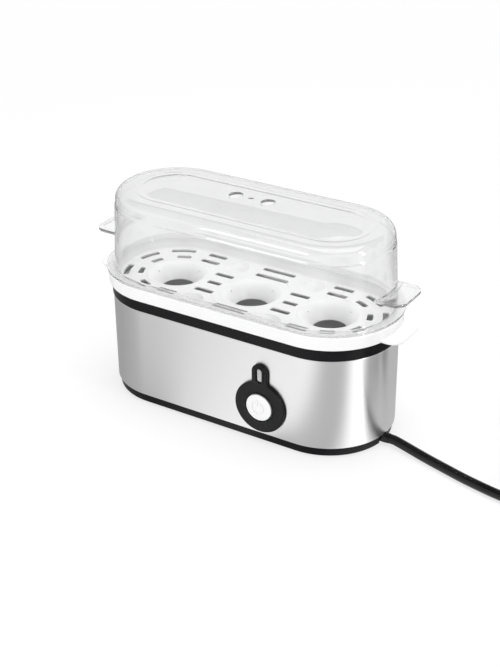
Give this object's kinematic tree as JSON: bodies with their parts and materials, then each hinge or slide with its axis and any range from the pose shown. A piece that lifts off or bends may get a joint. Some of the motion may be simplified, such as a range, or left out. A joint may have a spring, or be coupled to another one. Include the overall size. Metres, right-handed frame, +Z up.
{
  "type": "egg boiler",
  "caption": "Obround steam egg cooker with a steel housing, black base and rim, white slotted cup tray, clear domed lid, push button, lamp and mains lead.",
  "frame": {"origin": "on the table under the middle of the housing, which stands on its four feet", "axes": "+Z up; +X along the long side towards the end that the mains lead leaves; -Y towards the side with the button"},
  "size_m": [0.3907, 0.1344, 0.149],
  "materials": {
    "black_plastic": "semi-gloss moulded black",
    "black_gloss": "gloss moulded black",
    "foot_rubber": "matt",
    "bare_metal": "plain satin",
    "brushed_steel": "brushed along its length",
    "pan_coating": "non-stick coating, satin",
    "silicone": "matt translucent grey",
    "brass": "plain",
    "plug_pin": "nickel plated",
    "white_plastic": "semi-gloss moulded white",
    "button_white": "satin moulded white with a faint power symbol",
    "clear_plastic": "clear polished plastic",
    "lamp_glass": "clear amber",
    "brown_wire": "insulation",
    "blue_wire": "insulation",
    "earth_wire": "insulation",
    "cord_sheath": "glossy black sheath"
  },
  "bodies": {
    "base": {"bottom_cover": "black_plastic", "foot_1": "foot_rubber", "foot_2": "foot_rubber", "foot_3": "foot_rubber", "foot_4": "foot_rubber", "base_screw_1": "bare_metal", "base_screw_2": "bare_metal", "base_screw_3": "bare_metal", "base_screw_4": "bare_metal", "steel_housing": "brushed_steel", "top_rim": "black_plastic", "heating_pan": "pan_coating", "pan_seal": "silicone", "heating_element": "bare_metal", "element_blade_left": "bare_metal", "element_blade_right": "bare_metal", "thermostat": "bare_metal", "thermostat_clip": "bare_metal", "thermal_fuse": "bare_metal", "earth_tab": "brass", "control_bezel": "black_gloss", "indicator_lens": "clear_plastic", "indicator_lamp": "lamp_glass", "lamp_holder": "white_plastic", "switch_body": "black_plastic", "switch_bracket": "bare_metal", "strain_relief": "cord_sheath", "cord_stub": "cord_sheath", "cord_clamp": "black_plastic", "clamp_screw_1": "bare_metal", "clamp_screw_2": "bare_metal", "wire_live": "brown_wire", "wire_neutral": "blue_wire", "wire_earth": "earth_wire", "wire_to_thermostat": "brown_wire", "wire_to_fuse": "brown_wire", "wire_to_element": "brown_wire", "wire_lamp": "blue_wire", "power_cord": "cord_sheath", "cord_coil": "cord_sheath", "coil_tie": "foot_rubber", "mains_plug": "cord_sheath", "plug_pin_1": "plug_pin", "plug_pin_2": "plug_pin"},
    "tray": {"egg_tray": "white_plastic"},
    "lid": {"lid": "clear_plastic"},
    "button": {"power_button": "button_white"}
  },
  "joints": [
    {"name": "tray_lift", "type": "slide", "parent": "base", "child": "tray", "axis": [0, 0, 1], "range_m": [0, 0.04]},
    {"name": "lid_lift", "type": "slide", "parent": "tray", "child": "lid", "axis": [0, 0, 1], "range_m": [0, 0.06]},
    {"name": "button_press", "type": "slide", "parent": "base", "child": "button", "axis": [0, 1, 0], "range_m": [0, 0.0025], "stiffness_N_per_m": 400, "springref_m": -0.002}
  ]
}
